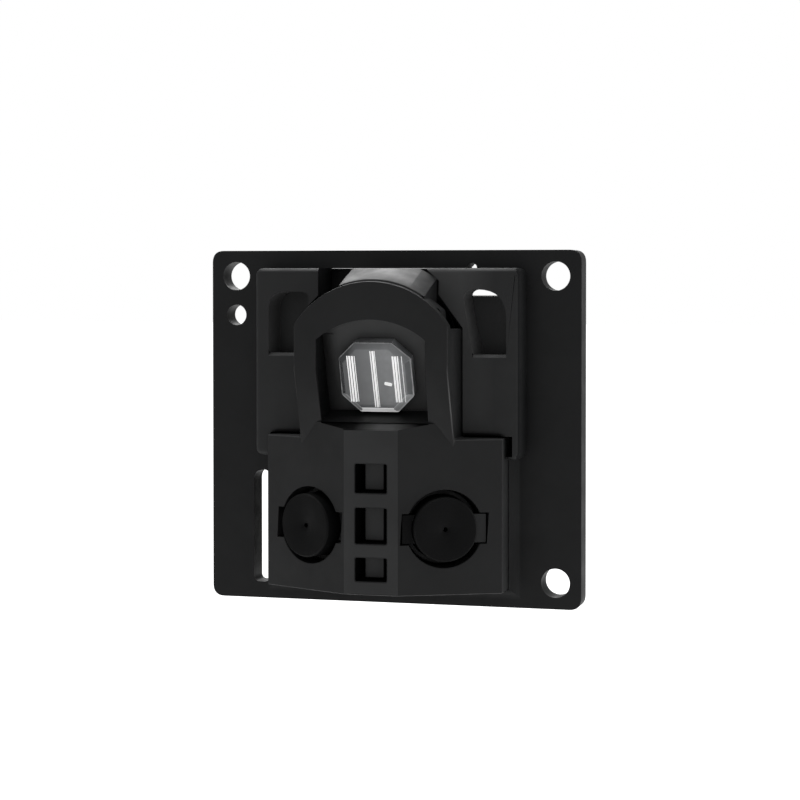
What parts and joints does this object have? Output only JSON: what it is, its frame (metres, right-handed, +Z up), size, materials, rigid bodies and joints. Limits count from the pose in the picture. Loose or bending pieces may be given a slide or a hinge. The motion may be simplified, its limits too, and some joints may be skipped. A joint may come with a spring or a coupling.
{
  "type": "lidar scanner module",
  "caption": "Solid-state lidar module: a mounting plate with a forward-leaning line-laser tower above outward-turned cameras, and a circuit board with a cable socket behind.",
  "frame": {"origin": "centre of the mounting plate's outline, on its back face", "axes": "+X to the right as the module looks out, +Y to the rear along the plate's normal, +Z up; the module looks along -Y"},
  "size_m": [0.032, 0.0177, 0.0296],
  "materials": {
    "black_plastic": "fine moulded texture",
    "barrel_plastic": "matte black",
    "clear_lens": "polished clear",
    "lens_glass": "polished",
    "filter_glass": "coated",
    "brass": "turned",
    "steel": "satin",
    "gold": "gold plated",
    "board_green": "solder mask",
    "flex_amber": "flexible circuit film",
    "chip_plastic": "moulded epoxy",
    "socket_plastic": "moulded",
    "ferrite": "sintered",
    "tantalum": "moulded epoxy"
  },
  "bodies": {
    "base": {"front_plate": "black_plastic", "optical_block": "black_plastic", "laser_ribbon": "flex_amber", "laser_ribbon_socket": "socket_plastic", "camera_holder_left": "black_plastic", "camera_filter_left": "filter_glass", "camera_sensor_left": "chip_plastic", "camera_board_left": "board_green", "camera_ribbon_left": "flex_amber", "camera_ribbon_socket_left": "socket_plastic", "camera_holder_right": "black_plastic", "camera_filter_right": "filter_glass", "camera_sensor_right": "chip_plastic", "camera_board_right": "board_green", "camera_ribbon_right": "flex_amber", "camera_ribbon_socket_right": "socket_plastic", "main_board": "board_green", "processor": "chip_plastic", "flash_memory": "chip_plastic", "crystal": "steel", "voltage_regulator": "chip_plastic", "laser_driver": "chip_plastic", "inductor": "ferrite", "input_capacitor": "tantalum", "output_capacitor": "tantalum", "cable_socket": "socket_plastic", "cable_contact_1": "gold", "cable_contact_2": "gold", "cable_contact_3": "gold", "cable_contact_4": "gold", "board_screw_1": "steel", "board_screw_2": "steel", "board_screw_3": "steel", "board_screw_4": "steel", "plate_screw_1": "steel", "plate_screw_2": "steel"},
    "laser": {"line_lens": "clear_lens", "laser_sleeve": "brass", "collimator_barrel": "brass", "collimator_lens": "lens_glass", "laser_diode": "gold", "laser_lead_1": "gold", "laser_lead_2": "gold", "laser_lead_3": "gold", "laser_board": "board_green"},
    "optic_left": {"camera_lens_left": "lens_glass"},
    "barrel_left": {"camera_barrel_left": "barrel_plastic", "camera_retainer_left": "barrel_plastic"},
    "optic_right": {"camera_lens_right": "lens_glass"},
    "barrel_right": {"camera_barrel_right": "barrel_plastic", "camera_retainer_right": "barrel_plastic"}
  },
  "joints": [
    {"name": "laser_level", "type": "hinge", "parent": "base", "child": "laser", "pos_m": [0, -0.00839, 0.00387], "axis": [0, 0.9397, 0.342], "range_deg": [-3, 3]},
    {"name": "focus_travel_left", "type": "slide", "parent": "base", "child": "optic_left", "axis": [-0.4226, -0.9063, 0], "range_m": [-0.000175, 0.000175]},
    {"name": "focus_turn_left", "type": "hinge", "parent": "optic_left", "child": "barrel_left", "pos_m": [-0.00573, -0.00692, -0.0078], "axis": [-0.4226, -0.9063, 0], "range_deg": [-180, 180]},
    {"name": "focus_travel_right", "type": "slide", "parent": "base", "child": "optic_right", "axis": [0.4226, -0.9063, 0], "range_m": [-0.000175, 0.000175]},
    {"name": "focus_turn_right", "type": "hinge", "parent": "optic_right", "child": "barrel_right", "pos_m": [0.00573, -0.00692, -0.0078], "axis": [0.4226, -0.9063, 0], "range_deg": [-180, 180]}
  ],
  "couplings": [
    {"joint": "focus_turn_left", "follows": "focus_travel_left", "rad_per_m": 17952},
    {"joint": "focus_turn_right", "follows": "focus_travel_right", "rad_per_m": 17952}
  ]
}
